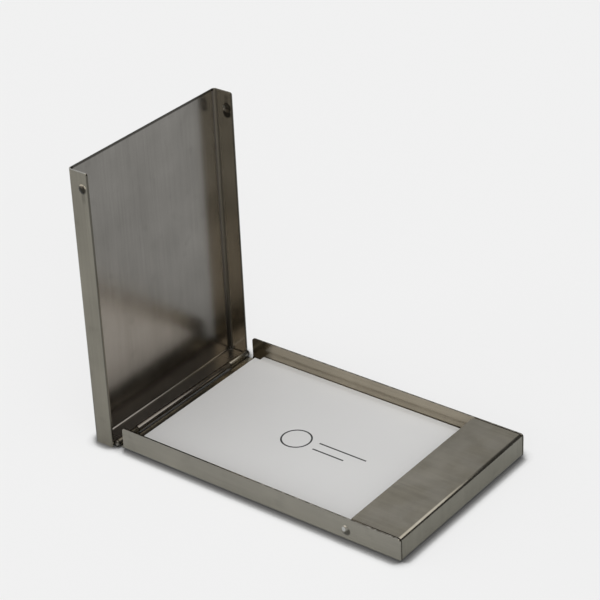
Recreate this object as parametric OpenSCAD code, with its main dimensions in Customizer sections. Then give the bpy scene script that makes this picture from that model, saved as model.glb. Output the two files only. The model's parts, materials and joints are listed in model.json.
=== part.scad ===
// Business card case in folded stainless sheet, standing open at a right angle.
// A shallow tray with a pocket lip holds the cards. A three-sided lid is hinged to its rear edge on a
// full-width pin and snaps over the tray when it closes.
// Millimetres. Origin: middle of the tray's underside. +X runs from the hinge to the pocket, +Z is up.

/* [Sheet] */
// Thickness of the steel sheet
sheet_t = 0.45; // [0.4:0.05:0.5]
// Outside radius of every fold
fold_r = 1.0; // [0.8:0.1:1.2]
// Open seam left where two folded walls meet at a corner
seam = 0.3; // [0.2:0.05:0.5]
// Radius on the top corners of the tray's side walls
tray_corner_r = 0.9; // [0.6:0.1:1.2]
// Radius on the free corners of the lid's side walls
lid_corner_r = 0.7; // [0.4:0.1:1.2]

/* [Tray] */
// Length from the rear edge of the side walls to the front wall
tray_l = 91.5; // [90.5:0.5:96]
// Width over the side walls
tray_w = 57.4; // [57.4:0.2:62]
// Height of the walls
tray_h = 7.0; // [6.6:0.1:7.2]
// Depth of the pocket lip from the front wall
lip_l = 15.5; // [10:0.5:25]

/* [Lid] */
// Depth from the panel's outer face to the hinge axis
lid_d = 7.0; // [6.8:0.1:7.4]
// Height of the open lid, from its rear wall to its free edge
lid_l = 83.0; // [80:0.5:84]
// Depth of the side walls
lid_wall = 6.5; // [6:0.1:6.6]
// Clearance between the lid's side walls and the tray's
side_gap = 0.4; // [0.4:0.05:0.5]

/* [Hinge] */
// Diameter of the hinge pin
pin_d = 1.0; // [0.9:0.05:1.1]
// Radial running clearance of the pin in the rolled knuckles
pin_clearance = 0.04; // [0.02:0.01:0.06]
// Distance of the hinge axis behind the tray's side walls
axis_back = 2.6; // [2.5:0.1:3]
// Length of the lid's middle knuckle
mid_knuckle = 40.0; // [30:1:44]
// Gap between neighbouring knuckles, and round each one
knuckle_gap = 0.25; // [0.2:0.05:0.4]

/* [Snap] */
// Distance of the snap bumps in front of the hinge axis
snap_x = 77.2; // [60:0.2:78]
// Height of the snap bumps above the underside
snap_z = 3.3; // [3:0.1:4]
// Diameter of a bump or a dimple
snap_d = 2.8; // [2.2:0.1:3]
// Rise of the tray's bumps, less than the side clearance
bump_h = 0.36; // [0.2:0.01:0.36]
// Rise of the lid's dimples
dimple_h = 0.5; // [0.3:0.05:0.5]

/* [Cards] */
// Length of a card
card_l = 85.6; // [80:0.1:85.6]
// Width of a card
card_w = 54.0; // [50:0.5:54]
// Thickness of the card stock
card_t = 0.38; // [0.25:0.01:0.38]

/* [Hidden] */
$fn = 48;
slack = 0.01;

rear_x = -tray_l / 2;
front_x = tray_l / 2;
wall_y = tray_w / 2;

bore_r = pin_d / 2 + pin_clearance;
knuckle_r = bore_r + sheet_t;
axis_x = rear_x - axis_back;
axis_z = knuckle_r;
knuckle_end = wall_y;
// Slit where the rolled sheet's edge comes back to the plate
curl_slit = 0.15;

lid_y = wall_y + side_gap + sheet_t;
panel_x = axis_x - lid_d;

// Swaged ends that hold the pin in the tray's knuckles
swage_l = 3.0;
swage_bite = 0.005;

card_gap = 0.05;
// Turn of each card about +Z and the place of its centre, bottom card first
card_turns = [0.1, -0.2, 0.15, -0.1, 0];
card_centres = [[2.1, 0.3], [2.0, -0.2], [1.7, 0.4], [1.2, 1.0], [-0.3, -1.15]];

// A quarter of a rolled ring in 2-D, from angle start to start + 90, with its outside at fold_r
module fold_arc(start) {
    rotate(start)
        intersection() {
            difference() {
                circle(r = fold_r);
                circle(r = fold_r - sheet_t);
            }
            square(fold_r + slack);
        }
}

// Turns a 2-D outline drawn in X and Z into a solid centred on the middle line, w wide
module across(w) {
    translate([0, w / 2, 0])
        rotate([90, 0, 0])
            linear_extrude(w)
                children();
}

// Rectangle in 2-D from one corner to the opposite one
module rect(low, high) {
    translate(low)
        square(high - low);
}

// Both sides of the middle line
module both_sides() {
    children();
    mirror([0, 1, 0])
        children();
}

// Outline of a tray wall above its fold, with its two top corners rounded
module tray_wall_outline() {
    shoulder_z = tray_h - tray_corner_r;
    rect([0, fold_r], [tray_l, shoulder_z]);
    rect([tray_corner_r, fold_r], [tray_l - tray_corner_r, tray_h]);
    for (x = [tray_corner_r, tray_l - tray_corner_r])
        translate([x, shoulder_z])
            circle(r = tray_corner_r);
}

// What is cut from a 2-D outline to round its corner at [x, z]. The outline lies on the -X side of the
// corner, and above it or below it as inward is 1 or -1.
module corner_cut(x, z, inward, r) {
    difference() {
        translate([x - r, inward > 0 ? z - slack : z - r])
            square(r + slack);
        translate([x - r, z + inward * r])
            circle(r = r);
    }
}

// A rolled knuckle in 2-D about the hinge axis. Its plate leaves along toward (+1 or -1) at the bottom.
module knuckle_outline(toward) {
    difference() {
        circle(r = knuckle_r);
        circle(r = bore_r);
        translate([toward > 0 ? 0 : -knuckle_r - slack, -knuckle_r + sheet_t])
            square([knuckle_r + slack, curl_slit]);
    }
}

// Spherical cap of the given rise, standing on the plane y = 0 towards +Y
module cap(rise) {
    ball_r = (snap_d * snap_d / 4 + rise * rise) / (2 * rise);
    translate([0, rise - ball_r, 0])
        intersection() {
            sphere(r = ball_r, $fn = 96);
            translate([-snap_d, ball_r - rise - slack, -snap_d])
                cube([2 * snap_d, 2 * rise, 2 * snap_d]);
        }
}

// Section of the tray along its length: plate, front fold, front wall, top fold and pocket lip
module tray_section() {
    rect([rear_x, 0], [front_x - fold_r, sheet_t]);
    translate([front_x - fold_r, fold_r])
        fold_arc(270);
    rect([front_x - sheet_t, fold_r], [front_x, tray_h - fold_r]);
    translate([front_x - fold_r, tray_h - fold_r])
        fold_arc(0);
    rect([front_x - lip_l, tray_h - sheet_t], [front_x - fold_r, tray_h]);
}

// One side wall of the tray with its fold and its pressed bump, on the +Y side
module tray_side() {
    difference() {
        union() {
            translate([rear_x, wall_y, 0])
                rotate([90, 0, 0])
                    linear_extrude(sheet_t)
                        tray_wall_outline();
            translate([rear_x, wall_y - fold_r, fold_r])
                rotate([90, 0, 90])
                    linear_extrude(tray_l)
                        fold_arc(270);
            translate([axis_x + snap_x, wall_y, snap_z])
                cap(bump_h);
        }
        translate([axis_x + snap_x, wall_y - sheet_t, snap_z])
            cap(bump_h);
        // Front end of the fold, rounded like the fold of the front wall beside it
        translate([rear_x, wall_y + slack, 0])
            rotate([90, 0, 0])
                linear_extrude(fold_r + 2 * slack)
                    corner_cut(tray_l, 0, 1, fold_r);
    }
}

// The tray: one sheet folded up on three sides, with the front wall folded back as a pocket lip
module base_tray() {
    front_w = tray_w - 2 * (sheet_t + seam);
    plate_w = tray_w - 2 * fold_r;
    end_from = mid_knuckle / 2 + knuckle_gap;
    end_knuckle = knuckle_end - end_from;
    end_plate = plate_w / 2 - end_from;
    mid_edge_x = axis_x + knuckle_r + knuckle_gap;
    color("silver") {
        difference() {
            union() {
                across(front_w)
                    tray_section();
                across(plate_w + slack)
                    rect([rear_x, 0], [front_x - fold_r, sheet_t]);
                both_sides()
                    tray_side();
            }
            // Open seams beside the front wall
            both_sides()
                translate([front_x - fold_r, front_w / 2, -slack])
                    cube([fold_r + slack, seam, tray_h + 2 * slack]);
        }
        // Rear edge of the plate, set back round the lid's knuckle
        across(mid_knuckle + 2 * knuckle_gap)
            rect([mid_edge_x, 0], [rear_x + slack, sheet_t]);
        both_sides() {
            translate([0, end_from + end_plate / 2, 0])
                across(end_plate)
                    rect([axis_x, 0], [rear_x + slack, sheet_t]);
            translate([0, end_from + end_knuckle / 2, 0])
                across(end_knuckle)
                    translate([axis_x, axis_z])
                        knuckle_outline(1);
        }
    }
}

// One side wall of the open lid with its fold and its pressed dimple, on the +Y side
module lid_side() {
    wall_l = lid_wall - fold_r;
    difference() {
        union() {
            translate([panel_x + fold_r, lid_y, 0])
                rotate([90, 0, 0])
                    linear_extrude(sheet_t)
                        difference() {
                            rect([0, 0], [wall_l, lid_l]);
                            corner_cut(wall_l, 0, 1, lid_corner_r);
                            corner_cut(wall_l, lid_l, -1, lid_corner_r);
                        }
            translate([panel_x + fold_r, lid_y - fold_r, 0])
                linear_extrude(lid_l)
                    fold_arc(90);
            translate([panel_x + (axis_z + lid_d - snap_z), lid_y, axis_z + snap_x])
                cap(dimple_h);
        }
        translate([panel_x + (axis_z + lid_d - snap_z), lid_y - sheet_t, axis_z + snap_x])
            cap(dimple_h);
    }
}

// The lid: a panel with two side walls and a rear wall, whose middle is rolled round the pin
module lid_shell() {
    rear_w = 2 * (lid_y - sheet_t - seam);
    color("silver") {
        difference() {
            union() {
                across(2 * (lid_y - fold_r) + slack)
                    rect([panel_x, 0], [panel_x + sheet_t, lid_l]);
                both_sides()
                    lid_side();
            }
            // Square foot of the panel, where the rear wall's fold takes over
            across(rear_w)
                rect([panel_x - slack, -slack], [panel_x + fold_r, fold_r]);
            // Open seams beside the rear wall
            both_sides()
                translate([panel_x - slack, rear_w / 2, -slack])
                    cube([fold_r + 2 * slack, seam, fold_r + slack]);
        }
        // Fold and rear wall, set back round the tray's end knuckles
        across(rear_w) {
            translate([panel_x + fold_r, fold_r])
                fold_arc(180);
            rect([panel_x + fold_r, 0], [axis_x - knuckle_r - knuckle_gap, sheet_t]);
        }
        across(mid_knuckle) {
            rect([axis_x - knuckle_r - knuckle_gap - slack, 0], [axis_x, sheet_t]);
            translate([axis_x, axis_z])
                knuckle_outline(-1);
        }
    }
}

// The full-width hinge pin, swaged at both ends into the tray's knuckles
module hinge_pin() {
    color("gainsboro")
        translate([axis_x, 0, axis_z])
            rotate([90, 0, 0]) {
                cylinder(d = pin_d, h = 2 * knuckle_end, center = true);
                for (side = [-1, 1])
                    translate([0, 0, side * (knuckle_end - swage_l / 2)])
                        cylinder(r = bore_r + swage_bite, h = swage_l, center = true);
            }
}

// One card of the stack, counted from the bottom
module card(n) {
    color("white")
        translate([card_centres[n][0], card_centres[n][1], sheet_t + card_gap + n * card_t])
            rotate(card_turns[n])
                translate([-card_l / 2, -card_w / 2, 0])
                    cube([card_l, card_w, card_t]);
}

base_tray();
lid_shell();
hinge_pin();
card(0);  // card_1
card(1);  // card_2
card(2);  // card_3
card(3);  // card_4
card(4);  // card_5
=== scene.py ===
import json
import math

import bpy
from mathutils import Matrix, Vector

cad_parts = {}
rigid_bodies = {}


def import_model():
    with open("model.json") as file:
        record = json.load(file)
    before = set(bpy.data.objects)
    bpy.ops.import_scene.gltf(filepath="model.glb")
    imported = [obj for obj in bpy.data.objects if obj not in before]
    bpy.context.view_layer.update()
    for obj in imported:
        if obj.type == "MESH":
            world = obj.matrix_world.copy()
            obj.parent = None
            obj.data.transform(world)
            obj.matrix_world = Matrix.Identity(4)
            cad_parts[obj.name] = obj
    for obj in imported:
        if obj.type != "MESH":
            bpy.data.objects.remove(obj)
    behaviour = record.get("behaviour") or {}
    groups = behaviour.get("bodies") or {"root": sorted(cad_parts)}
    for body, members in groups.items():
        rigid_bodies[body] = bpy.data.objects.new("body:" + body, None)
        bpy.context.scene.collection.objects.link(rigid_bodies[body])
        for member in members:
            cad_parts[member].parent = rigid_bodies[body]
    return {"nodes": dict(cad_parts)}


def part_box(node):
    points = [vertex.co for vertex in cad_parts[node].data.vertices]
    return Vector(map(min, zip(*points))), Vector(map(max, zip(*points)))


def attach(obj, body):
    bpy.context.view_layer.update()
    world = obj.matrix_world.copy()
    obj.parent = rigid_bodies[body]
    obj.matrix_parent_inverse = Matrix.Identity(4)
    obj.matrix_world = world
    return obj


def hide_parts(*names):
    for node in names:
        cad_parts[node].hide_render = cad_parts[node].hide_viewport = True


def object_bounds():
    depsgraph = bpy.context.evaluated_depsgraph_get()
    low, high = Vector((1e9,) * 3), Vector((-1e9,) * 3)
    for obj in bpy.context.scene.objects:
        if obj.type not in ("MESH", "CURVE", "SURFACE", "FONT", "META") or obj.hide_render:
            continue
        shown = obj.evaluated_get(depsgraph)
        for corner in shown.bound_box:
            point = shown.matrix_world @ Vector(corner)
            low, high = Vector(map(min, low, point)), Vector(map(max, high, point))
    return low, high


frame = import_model()
cad_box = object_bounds()

# ---- The tray ----
# One stainless sheet, 0.45 mm thick, ground along its length before it was cut. The bottom carries two
# side walls, the front wall and the pocket lip that is folded back over it. The cut edges are tumbled.

MM = 0.001
SHARP = 0.1 * MM  # how far a crisp border takes to go from 0 to 1


class Field:
    """A value that varies over a surface. It wraps a shader socket, and arithmetic adds Math nodes."""

    def __init__(self, tree, socket):
        self.tree = tree
        self.socket = socket

    def node(self, kind, settings, inputs, output=0):
        """Adds a node of any type: its settings first, then the values or links of its sockets."""
        made = self.tree.nodes.new(kind)
        for name, value in settings.items():
            setattr(made, name, value)
        for name, value in inputs.items():
            if isinstance(value, Field):
                self.tree.links.new(value.socket, made.inputs[name])
            else:
                made.inputs[name].default_value = value
        return Field(self.tree, made.outputs[output]) if made.outputs else None

    def maths(self, operation, *values):
        return self.node("ShaderNodeMath", {"operation": operation}, dict(enumerate(values)))

    def __add__(self, other):
        return self.maths("ADD", self, other)

    def __radd__(self, other):
        return self.maths("ADD", other, self)

    def __sub__(self, other):
        return self.maths("SUBTRACT", self, other)

    def __rsub__(self, other):
        return self.maths("SUBTRACT", other, self)

    def __mul__(self, other):
        return self.maths("MULTIPLY", self, other)

    def __rmul__(self, other):
        return self.maths("MULTIPLY", other, self)

    def __truediv__(self, other):
        return self.maths("DIVIDE", self, other)

    def __abs__(self):
        return self.maths("ABSOLUTE", self)

    def root(self):
        return self.maths("SQRT", self)

    def at_most(self, limit):
        return self.maths("MINIMUM", self, limit)

    def at_least(self, limit):
        return self.maths("MAXIMUM", self, limit)

    def above(self, level, soft):
        """0 below the level and 1 above it, with a ramp as wide as soft."""
        return self.node(
            "ShaderNodeMapRange",
            {"interpolation_type": "SMOOTHSTEP"},
            {"Value": self, "From Min": level - soft / 2, "From Max": level + soft / 2},
        )

    def below(self, level, soft):
        return 1 - self.above(level, soft)

    def split(self):
        """The three parts of a vector."""
        parts = self.node("ShaderNodeSeparateXYZ", {}, {"Vector": self}).socket.node
        return [Field(self.tree, part) for part in parts.outputs]

    def joined(self, x, y, z):
        return self.node("ShaderNodeCombineXYZ", {}, {"X": x, "Y": y, "Z": z})

    def noise(self, detail, roughness=0.5):
        """Fractal noise of this vector, from 0 to 1."""
        settings = {"Vector": self, "Scale": 1.0, "Detail": detail, "Roughness": roughness}
        return self.node("ShaderNodeTexNoise", {}, settings)

    def specks(self, size, detail):
        """Fractal noise of this position. Size is a speck's length, or one length for each axis."""
        sizes = size if isinstance(size, tuple) else (size, size, size)
        scaled = self.node("ShaderNodeVectorMath", {"operation": "DIVIDE"}, {0: self, 1: sizes})
        return scaled.noise(detail)

    def tint(self, low, high):
        """A colour from low to high as this value goes from 0 to 1. Either may be a colour field."""
        low = low if isinstance(low, Field) else (*low, 1)
        high = high if isinstance(high, Field) else (*high, 1)
        return self.node("ShaderNodeMix", {"data_type": "RGBA"}, {0: self, 6: low, 7: high}, 2)


def new_finish(name, **constants):
    """A material with one Principled shader: gives the material, the shader and the Object coordinates."""
    finish = bpy.data.materials.new(name)
    finish.use_nodes = True
    tree = finish.node_tree
    tree.nodes.clear()
    place = Field(tree, tree.nodes.new("ShaderNodeTexCoord").outputs["Object"])
    values = {socket.replace("_", " "): value for socket, value in constants.items()}
    shader = place.node("ShaderNodeBsdfPrincipled", {}, values)
    place.node("ShaderNodeOutputMaterial", {}, {"Surface": shader})
    return finish, shader.socket.node, place


def feed(shader, **fields):
    """Links fields to the shader's sockets by name."""
    for socket, field in fields.items():
        field.tree.links.new(field.socket, shader.inputs[socket.replace("_", " ")])


def apart(a, b):
    """Distance from the line where both fields are zero."""
    return (a * a + b * b).root()


def ground_steel(name, along, wall_from, blue, wear_and_painted_light):
    """Sheet steel with straight grain along one axis. The side walls lie beyond wall_from in Y, and are
    a little warmer than the flat, whose blue share is given. The last argument is a function of the
    position, and gives the darkening (dirt and painted shade), the lightening (polishing and painted
    highlights) and the roughening."""
    flat_dark = (0.3, 0.272, 0.3 * blue)
    flat_light = (0.5, 0.457, 0.51 * blue)
    wall_dark = (0.3, 0.268, 0.212)
    wall_light = (0.5, 0.45, 0.36)
    # The bright colour serves polishing and painted highlights, the dark one dirt and painted shade.
    polish_and_highlight_colour = (0.85, 0.82, 0.77)
    dirt_and_shade_colour = (0.05, 0.044, 0.034)
    finish, shader, place = new_finish(name, Metallic=1.0)
    x, y, z = place.split()
    on_wall = abs(y).above(wall_from, SHARP)

    def grain(width, length, detail):
        fine = 1 / width
        slow = 1 / length
        turned = slow + on_wall * (fine - slow)
        if along == "X":
            return place.joined(x * slow, y * fine, z * turned).noise(detail)
        return place.joined(x * turned, y * fine, z * slow).noise(detail)

    hairs = grain(0.35 * MM, 18 * MM, 2)
    streaks = grain(1.1 * MM, 60 * MM, 3)
    bands = grain(6 * MM, 90 * MM, 2)
    smudges = place.specks(11 * MM, 4)
    stains = place.specks(5 * MM, 2).above(0.66, 0.12)
    # Four noises of weight 1.7 in all average 0.85, and the last number brings that to about a half.
    shade = hairs * 0.5 + streaks * 0.3 + bands * 0.2 + smudges * 0.7 - stains * 0.15 - 0.33
    bare = on_wall.tint(shade.tint(flat_dark, flat_light), shade.tint(wall_dark, wall_light))
    relief = {"Height": hairs * 0.6 + streaks * 0.4, "Distance": 0.003 * MM, "Strength": 1.0}
    # The darkening is part dirt and part painted shade, the lightening part polishing and part painted
    # highlights.
    darkening_with_painted_shade, polish_and_painted_highlight, roughening = wear_and_painted_light(x, y, z)
    feed(
        shader,
        Base_Color=darkening_with_painted_shade.tint(polish_and_painted_highlight.tint(bare, polish_and_highlight_colour), dirt_and_shade_colour),
        Roughness=0.15 + hairs * 0.06 + smudges * 0.08 + roughening,
        Normal=place.node("ShaderNodeBump", {}, relief),
    )
    return finish


def dress_sheet(node, finish):
    """Rounds the cut edges of a CAD sheet part by a hair, and gives it its finish."""
    edge, edge_shader, place = new_finish(node + "_edge", Metallic=1.0)
    nicks = place.specks((0.7 * MM, 0.5 * MM, 0.5 * MM), 3).above(0.5, 0.4)
    feed(
        edge_shader,
        Base_Color=nicks.tint((0.08, 0.072, 0.06), (0.24, 0.22, 0.19)),
        Roughness=0.25 + nicks * 0.15,
    )
    part = frame["nodes"][node]
    part.data.materials.clear()
    part.data.materials.append(finish)
    part.data.materials.append(edge)
    weld = part.modifiers.new("weld", "WELD")
    weld.merge_threshold = 0.0005 * MM
    round_edge = part.modifiers.new("edge_round", "BEVEL")
    round_edge.width = 0.07 * MM
    round_edge.segments = 2
    round_edge.limit_method = "ANGLE"
    round_edge.angle_limit = math.radians(35)
    round_edge.harden_normals = True
    round_edge.material = 1


tray_low, tray_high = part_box("base_tray")
BUMP_RISE = 0.36 * MM
tray_face = tray_high.y - BUMP_RISE
tray_wall = tray_face - 0.7 * MM
pin_low, pin_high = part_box("hinge_pin")
axis = (pin_low + pin_high) / 2
bump_x = axis.x + 77.2 * MM
bump_z = 3.3 * MM


def on_knuckles(x, z):
    """1 on the metal that is rolled round the hinge axis."""
    return apart(x - axis.x, z - axis.z).below(1.3 * MM, 0.4 * MM)


def tray_wear_and_painted_light(x, y, z):
    """Darkens the hinge, with painted shade at its near end, and paints shade and dark reflection into the
    bottom folds of the walls. Darkens the inside of the walls' rear ends. Paints a glint and a shadow
    round each bump, a highlight on the near wall, and light dashes on the wall tops, which also carry dark
    dashes.
    The lip is lightened a little in random mottles, partly a painted sheen."""
    side = abs(y)
    near_side = 0 - y
    on_wall = side.above(tray_wall, SHARP)
    outside = side.above(tray_face - 0.2 * MM, SHARP)
    inside = side.below(tray_face - 0.3 * MM, SHARP)
    # Darkened along the hinge, more at its near end: painted shade between the lid's near wall and the
    # tray.
    in_hinge = on_knuckles(x, z) * (0.25 + near_side.above(25 * MM, 3 * MM) * 0.4)
    # Painted shade and dark reflection along the bottom folds of the side and front walls.
    fold_reach = 0.8 * MM
    side_fold = side.above(tray_face - fold_reach, 0.4 * MM)
    front_fold = x.above(tray_high.x - fold_reach, 0.4 * MM)
    painted_foot_shade = (side_fold + front_fold).at_most(1.0) * z.below(0.7 * MM, 0.7 * MM)
    # Round each bump: a painted glint on its upper rear side and a painted shadow on its lower front side.
    right = x - bump_x
    up = z - bump_z
    painted_glint = apart(right + 0.4 * MM, up - 0.3 * MM).below(0.6 * MM, 0.3 * MM)
    painted_dark_rim = apart(right - 0.2 * MM, up + 0.1 * MM).below(1.3 * MM, 0.5 * MM)
    painted_dark_rim = painted_dark_rim * (right - up).above(0.3 * MM, 0.8 * MM)
    # Dashes along the wall tops: the light ones are a painted highlight, the dark ones are darkened.
    top = on_wall * z.above(tray_high.z - 0.03 * MM, 0.02 * MM)
    nicks = x.joined(x / (1.6 * MM), 0.0, 0.0).noise(3).above(0.5, 0.3)
    rear_end = x.below(tray_low.x + 9.6 * MM, 4 * MM) * on_wall * inside
    # The near wall is lightened all over: a painted highlight on that side.
    near = near_side.above(tray_face - 0.2 * MM, SHARP)
    # The lip is lightened a little in random mottles: the mottles are random tone, the lift a painted
    # sheen.
    on_lip = z.above(tray_high.z - 0.6 * MM, 0.2 * MM) * side.below(tray_face - 0.75 * MM, SHARP)
    mottle = x.joined(x / (10 * MM), y / (12 * MM), 0.0).noise(3).above(0.5, 0.3)
    darkening_with_painted_shade = in_hinge + outside * painted_dark_rim * 0.75 + top * (1 - nicks) * 0.6 + rear_end * 0.8 + painted_foot_shade * 0.65
    polish_and_painted_highlight = near * 0.11 + outside * painted_glint * 0.8 + top * nicks * 0.4 + on_lip * (0.03 + mottle * 0.14)
    return darkening_with_painted_shade, polish_and_painted_highlight, in_hinge * 0.2


dress_sheet("base_tray", ground_steel("tray_steel", "X", tray_wall, 0.715, tray_wear_and_painted_light))

# ---- The lid ----
# A second sheet of the same stock: a panel with two side walls and a rear wall that lies on the table
# while the case stands open. Its grain runs up the panel. The tray's bumps have rubbed beside its dimples.

lid_low, lid_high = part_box("lid_shell")
DIMPLE_RISE = 0.5 * MM
DIMPLE_RADIUS = 1.4 * MM
FOLD_RADIUS = 1.0 * MM
lid_face = lid_high.y - DIMPLE_RISE
lid_wall = lid_face - 0.75 * MM
dimple_x = lid_low.x + 4.69 * MM
dimple_z = lid_high.z - 4.81 * MM


def lid_wear_and_painted_light(x, y, z):
    """Darkens the walls' inner corner folds, the hinge, the dimples and the wall round them, the far
    wall's inside a little all over, and the near wall towards its bottom; rubbed streaks run beside the
    dimples.
    The lower part of the panel, its top edge and the walls' free edges get painted dark reflections. The
    top of the near wall gets a painted highlight, and the rear wall is lightened a little by polishing."""
    side = abs(y)
    near = (0 - y).above(lid_wall, 0.2 * MM)
    right = x - dimple_x
    up = z - dimple_z
    from_dimple = apart(right, up)
    depth = (1 - from_dimple * from_dimple / DIMPLE_RADIUS**2).at_least(0.0) * DIMPLE_RISE
    far_inside = y.above(lid_wall, 0.2 * MM) * (y - depth).below(lid_face - 0.2 * MM, SHARP)
    streak = abs(right).below(0.6 * MM, 0.6 * MM)
    far_marks = streak * up.above(1.0 * MM, 0.8 * MM) * up.below(3.8 * MM, 1.5 * MM) * 0.4
    far_marks = far_marks + apart(right, up + 1.7 * MM).below(1.3 * MM, 0.7 * MM)
    far_marks = far_marks + from_dimple.below(DIMPLE_RADIUS, 0.3 * MM) * 0.7
    near_marks = streak * up.above(-4.0 * MM, 2 * MM) * up.below(-0.6 * MM, 0.8 * MM) * 0.25
    near_marks = near_marks + from_dimple.below(1.2 * MM, 0.6 * MM) * 0.95
    near_marks = near_marks + z.below(4 * MM, 14 * MM) * 0.15
    in_fold = apart(x - lid_low.x - FOLD_RADIUS, side - (lid_face - FOLD_RADIUS))
    in_fold = in_fold.below(0.76 * MM, 0.2 * MM)
    # The lower part of the panel, its top edge and the walls' free edges are darkened: painted dark
    # reflections.
    painted_foot_reflection = z.below(15 * MM, 20 * MM) * x.below(lid_low.x + 0.9 * MM, 0.3 * MM)
    painted_dark_rim = z.above(lid_high.z - 0.5 * MM, SHARP) * side.below(lid_wall, 0.2 * MM)
    painted_dark_free_edge = x.above(lid_low.x + 6.2 * MM, 0.2 * MM) * z.above(2 * MM, 1 * MM)
    rear_wall = z.below(0.7 * MM, 0.2 * MM) * side.below(lid_face - 0.85 * MM, 0.2 * MM)
    darkening_with_painted_shade = far_inside * (far_marks + 0.12) + near * near_marks + in_fold * 0.6 + painted_foot_reflection * 0.4
    darkening_with_painted_shade = darkening_with_painted_shade + on_knuckles(x, z) * 0.2 + painted_dark_rim * 0.8 + painted_dark_free_edge * 0.6
    # The top of the near wall gets a painted highlight; the rear wall is lightened a little by polishing.
    polish_and_painted_highlight = near * z.above(lid_high.z - 0.03 * MM, 0.02 * MM) * 0.9 + rear_wall * 0.25
    return darkening_with_painted_shade, polish_and_painted_highlight, in_fold * 0.5 + rear_wall * 0.07


dress_sheet("lid_shell", ground_steel("lid_steel", "Z", lid_wall, 0.795, lid_wear_and_painted_light))

# ---- The hinge pin ----
# Drawn stainless wire, 1 mm thick, pushed through all three rolled knuckles. Its ends are swaged to keep
# it in, and show from the sides.

pin_finish, pin_shader, pin_place = new_finish("drawn_wire", Metallic=1.0)
draw_marks = pin_place.specks((0.1 * MM, 8 * MM, 0.1 * MM), 2)
feed(
    pin_shader,
    Base_Color=draw_marks.tint((0.33, 0.3, 0.26), (0.52, 0.48, 0.42)),
    Roughness=0.2 + draw_marks * 0.15,
)
pin = frame["nodes"]["hinge_pin"]
pin.data.materials.clear()
pin.data.materials.append(pin_finish)

# ---- The cards ----
# Five loose cards of stiff uncoated stock, guillotined square, each lying a little askew and bowed by a
# hair. The top one carries a small printed device: a thin ring with two thin bars beside it.

CARD_LENGTH = 85.6 * MM
CARD_WIDTH = 54 * MM
CARD_GAP = 0.012 * MM
BOW_WAVE = 45 * MM


class CardTree:
    """The Geometry Nodes that make one card: a fine grid, bowed, turned and put in its place."""

    def __init__(self):
        self.tree = bpy.data.node_groups.new("card_sheet", "GeometryNodeTree")
        self.ids = {}
        for name, kind in (
            ("Length", "Float"),
            ("Width", "Float"),
            ("Bow", "Float"),
            ("Turn", "Vector"),
            ("Place", "Vector"),
            ("Stock", "Material"),
        ):
            socket = self.tree.interface.new_socket(name, in_out="INPUT", socket_type="NodeSocket" + kind)
            self.ids[name] = socket.identifier
        self.tree.interface.new_socket("Geometry", in_out="OUTPUT", socket_type="NodeSocketGeometry")
        given = self.tree.nodes.new("NodeGroupInput").outputs
        given = {name: Field(self.tree, given[name]) for name in self.ids}
        grid = given["Length"].node(
            "GeometryNodeMeshGrid",
            {},
            {"Size X": given["Length"], "Size Y": given["Width"], "Vertices X": 69, "Vertices Y": 45},
        )
        flat_place = Field(self.tree, grid.socket.node.outputs["UV Map"])
        mapped = grid.node(
            "GeometryNodeStoreNamedAttribute",
            {"data_type": "FLOAT2", "domain": "CORNER"},
            {"Geometry": grid, "Name": "UVMap", "Value": flat_place},
        )
        lift = grid.node("GeometryNodeInputPosition", {}, {}).specks(BOW_WAVE, 1) * given["Bow"]
        bowed = grid.node(
            "GeometryNodeSetPosition", {}, {"Geometry": mapped, "Offset": lift.joined(0.0, 0.0, lift)}
        )
        placed = grid.node(
            "GeometryNodeTransform",
            {},
            {"Geometry": bowed, "Translation": given["Place"], "Rotation": given["Turn"]},
        )
        real = grid.node("GeometryNodeRealizeInstances", {}, {"Geometry": placed})
        dressed = grid.node("GeometryNodeSetMaterial", {}, {"Geometry": real, "Material": given["Stock"]})
        self.tree.links.new(dressed.socket, self.tree.nodes.new("NodeGroupOutput").inputs["Geometry"])

    def sheet(self, name, **values):
        """Runs the tree with these values and gives its result as a plain mesh object."""
        seed = bpy.data.objects.new(name + "_seed", bpy.data.meshes.new(name + "_seed"))
        bpy.context.scene.collection.objects.link(seed)
        maker = seed.modifiers.new("maker", "NODES")
        maker.node_group = self.tree
        for socket, value in values.items():
            maker[self.ids[socket]] = value
        graph = bpy.context.evaluated_depsgraph_get()
        mesh = bpy.data.meshes.new_from_object(seed.evaluated_get(graph), depsgraph=graph)
        bpy.data.objects.remove(seed)
        mesh.name = name
        mesh.materials.pop(index=0)
        made = bpy.data.objects.new(name, mesh)
        bpy.context.scene.collection.objects.link(made)
        return made


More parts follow.
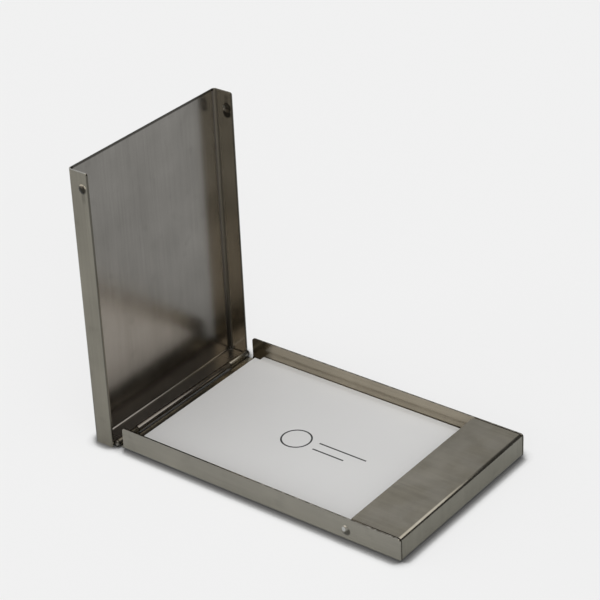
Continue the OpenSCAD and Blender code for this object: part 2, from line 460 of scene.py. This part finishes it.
def card_stock(name, printed):
    """Uncoated white stock with faint fibres. Printed stock carries the device on its upper face."""
    finish, shader, place = new_finish(name, Roughness=0.8)
    fibres = place.specks(0.25 * MM, 4)
    clouds = place.specks(20 * MM, 2)
    paper = (fibres * 0.4 + clouds * 0.6).tint((0.72, 0.716, 0.707), (0.77, 0.766, 0.757))
    if printed:
        across, up, _ = place.node("ShaderNodeUVMap", {"uv_map": "UVMap"}, {}).split()
        device_x = 1.5 * MM
        across = (across - 0.5) * CARD_LENGTH - device_x
        up = (up - 0.5) * CARD_WIDTH
        half_line = 0.25 * MM
        soft = 0.08 * MM
        ring_x = -8.8 * MM
        ring_radius = 4.2 * MM
        ink = abs(apart(across - ring_x, up) - ring_radius).below(half_line, soft)
        bar_start = -2.2 * MM
        for bar_y, bar_end in ((1.6 * MM, 13.2 * MM), (-1.6 * MM, 8.0 * MM)):
            bar = abs(up - bar_y).below(half_line, soft)
            ink = ink + bar * across.above(bar_start, soft) * across.below(bar_end, soft)
        ink = ink.at_most(1.0) * (1.05 - fibres * 0.15)
        paper = ink.tint(paper, (0.02, 0.02, 0.022))
    relief = {"Height": fibres, "Distance": 0.006 * MM, "Strength": 1.0}
    feed(shader, Base_Color=paper, Normal=place.node("ShaderNodeBump", {}, relief))
    return finish


cards = CardTree()
plain_stock = card_stock("plain_stock", False)
printed_stock = card_stock("printed_stock", True)
for node, name, stock in (
    ("card_1", "card_lowest", plain_stock),
    ("card_2", "card_second", plain_stock),
    ("card_3", "card_third", plain_stock),
    ("card_4", "card_fourth", plain_stock),
    ("card_5", "card_top", printed_stock),
):
    card_low, card_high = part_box(node)
    corners = [vertex.co for vertex in frame["nodes"][node].data.vertices]
    left = min(corners, key=lambda corner: corner.x + corner.y)
    right = max(corners, key=lambda corner: corner.x - corner.y)
    turn = math.atan2(right.y - left.y, right.x - left.x)
    middle = (card_low + card_high) / 2
    card = cards.sheet(
        name,
        Length=CARD_LENGTH,
        Width=CARD_WIDTH,
        Bow=0.12 * MM,
        Turn=(0.0, 0.0, turn),
        Place=(middle.x, middle.y, card_low.z),
        Stock=stock,
    )
    solid = card.modifiers.new("thickness", "SOLIDIFY")
    solid.thickness = card_high.z - card_low.z - CARD_GAP
    solid.offset = 1.0
    trim = card.modifiers.new("cut_edge", "BEVEL")
    trim.width = 0.03 * MM
    trim.segments = 2
    trim.limit_method = "ANGLE"
    trim.angle_limit = math.radians(50)
    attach(card, "cards")
    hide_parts(node)

# ---- The floor and the light ----
# A pale sweep under a soft ceiling that is brighter towards the pocket end. Low down, the studio is grey,
# with dark screens on the far and near sides, and one window behind the lid and one high in front. None
# of it belongs to the case.

floor_mesh = bpy.data.meshes.new("floor")
reach = 3.0
drop = -0.02 * MM
floor_mesh.from_pydata(
    [(-reach, -reach, drop), (reach, -reach, drop), (reach, reach, drop), (-reach, reach, drop)],
    [],
    [(0, 1, 2, 3)],
)
floor = bpy.data.objects.new("floor", floor_mesh)
bpy.context.scene.collection.objects.link(floor)
floor_finish, floor_shader, floor_place = new_finish(
    "floor_paper",
    Base_Color=(0.2, 0.2, 0.2, 1),
    Roughness=1.0,
    Specular_IOR_Level=0.0,
    Emission_Strength=0.7,
)
# The floor glows evenly. The AO node cuts the glow where the case stands close: a painted contact shadow.
# Reflections see a darker grey floor instead.
open_to_sky = floor_place.node("ShaderNodeAmbientOcclusion", {"samples": 8}, {"Distance": 3.5 * MM}, "AO")
open_to_sky = open_to_sky.above(0.8, 0.3)
feed(floor_shader, Emission_Color=open_to_sky.tint((0, 0, 0), (1, 1, 1)))
floor_bright = Field(floor_place.tree, floor_shader.outputs["BSDF"])
floor_grey = floor_place.node("ShaderNodeBsdfDiffuse", {}, {"Color": (0.49, 0.52, 0.545, 1)})
mirrored = floor_place.node("ShaderNodeLightPath", {}, {}, "Is Glossy Ray")
floor_seen = floor_place.node("ShaderNodeMixShader", {}, {0: mirrored, 1: floor_bright, 2: floor_grey})
floor_output = floor_place.tree.get_output_node("ALL")
floor_place.tree.links.new(floor_seen.socket, floor_output.inputs["Surface"])
floor_mesh.materials.append(floor_finish)

world = bpy.data.worlds.new("studio")
bpy.context.scene.world = world
world.use_nodes = True
world.node_tree.nodes.clear()
toward = Field(world.node_tree, world.node_tree.nodes.new("ShaderNodeTexCoord").outputs["Generated"])
toward_x, toward_y, toward_z = toward.split()
above_floor = toward_z.above(-0.02, 0.04)
far_screen = (toward_x * 0.62 + toward_y * 0.78).above(0.45, 0.5)
near_screen = (toward_x * 0.54 - toward_y * 0.84).above(0.3, 0.5) * toward_z.below(0.3, 0.3)
lid_window = (0 - toward_x * 0.9 - toward_y * 0.44).above(0.72, 0.2) * toward_z.below(0.55, 0.2)
front_window = (toward_x * 0.5 - toward_y * 0.7 + toward_z * 0.5).above(0.78, 0.2)
ceiling = (toward_z - far_screen * 0.05).above(0.68, 0.1)
room_grey = (0.38, 0.385, 0.39)
far_dark = (0.05, 0.05, 0.05)
near_dark = (0.1, 0.1, 0.1)
window_white = (1.9, 1.9, 1.9)
ceiling_white = toward_x.above(0.0, 1.4).tint((1.0, 1.0, 1.0), (1.35, 1.35, 1.35))
glow = (far_screen * above_floor).tint(room_grey, far_dark)
glow = (near_screen * above_floor).tint(glow, near_dark)
glow = (lid_window * above_floor).tint(glow, window_white)
glow = front_window.tint(glow, window_white)
glow = ceiling.tint(glow, ceiling_white)
background = toward.node("ShaderNodeBackground", {}, {"Color": glow, "Strength": 0.89})
toward.node("ShaderNodeOutputWorld", {}, {"Surface": background})

# ---- The camera ----
# A long lens, looking down at the open case from its pocket end. It is rolled a little, as a camera held
# in the hand is.

low, high = cad_box
aim = (low + high) / 2 + Vector((-1.41, 1.38, 3.35)) * MM
azimuth = math.radians(38.4)
elevation = math.radians(29.68)
roll = math.radians(2.62)
distance = 564 * MM
back = Vector(
    (
        math.sin(azimuth) * math.cos(elevation),
        -math.cos(azimuth) * math.cos(elevation),
        math.sin(elevation),
    )
)
camera_data = bpy.data.cameras.new("camera")
camera_data.sensor_width = 36
camera_data.lens = 129.6
camera_data.clip_start = 0.01
camera = bpy.data.objects.new("camera", camera_data)
bpy.context.scene.collection.objects.link(camera)
camera.matrix_world = (
    Matrix.Translation(aim + back * distance)
    @ back.to_track_quat("Z", "Y").to_matrix().to_4x4()
    @ Matrix.Rotation(-roll, 4, "Z")
)
bpy.context.scene.camera = camera
bpy.context.scene.view_settings.view_transform = "Standard"
